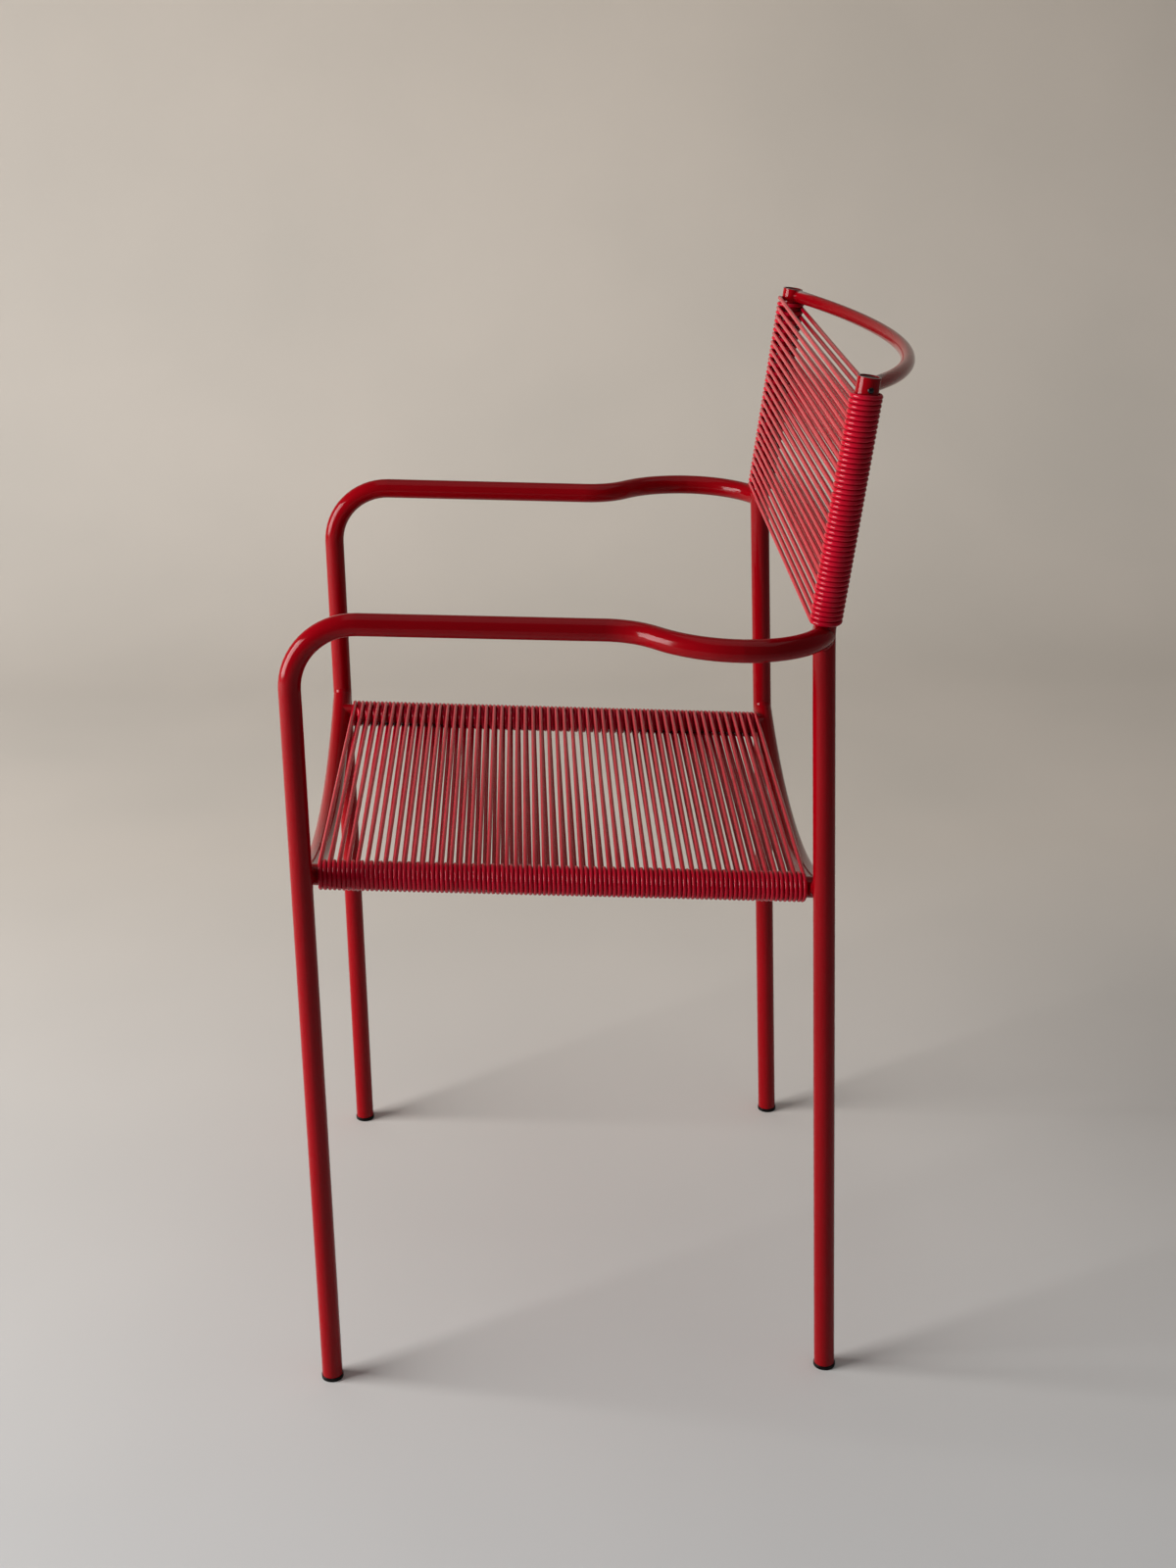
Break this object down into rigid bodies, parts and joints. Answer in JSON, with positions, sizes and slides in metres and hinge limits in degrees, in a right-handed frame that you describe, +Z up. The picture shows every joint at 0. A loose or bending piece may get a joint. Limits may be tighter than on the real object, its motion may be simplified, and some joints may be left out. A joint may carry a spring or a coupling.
{
  "type": "armchair",
  "caption": "Armchair of bent red steel tube with an open seat and back wound from plastic cord, curved arms and a thin bow across the top of the back.",
  "frame": {"origin": "on the floor, in the middle of the chair's width and depth", "axes": "+Z up; -Y is the way the sitter faces; +X is the sitter's left"},
  "size_m": [0.5286, 0.4965, 0.8434],
  "materials": {
    "lacquered_tube": "glossy red lacquer on steel tube, nicked a little at the edges",
    "cord": "smooth solid plastic cord, satin",
    "black_plastic": "moulded, satin",
    "cap_plastic": "worn paint over a grey cap"
  },
  "bodies": {
    "root": {"left_front_leg_and_arm": "lacquered_tube", "right_front_leg_and_arm": "lacquered_tube", "left_rear_leg": "lacquered_tube", "right_rear_leg": "lacquered_tube", "front_cross_tube": "lacquered_tube", "rear_cross_tube": "lacquered_tube", "left_seat_rail": "lacquered_tube", "right_seat_rail": "lacquered_tube", "top_bow": "lacquered_tube", "seat_cord": "cord", "back_cord": "cord", "cord_plug": "black_plastic", "left_front_foot_cap": "black_plastic", "right_front_foot_cap": "black_plastic", "left_rear_foot_cap": "black_plastic", "right_rear_foot_cap": "black_plastic", "left_top_cap": "cap_plastic", "right_top_cap": "cap_plastic"}
  },
  "joints": []
}
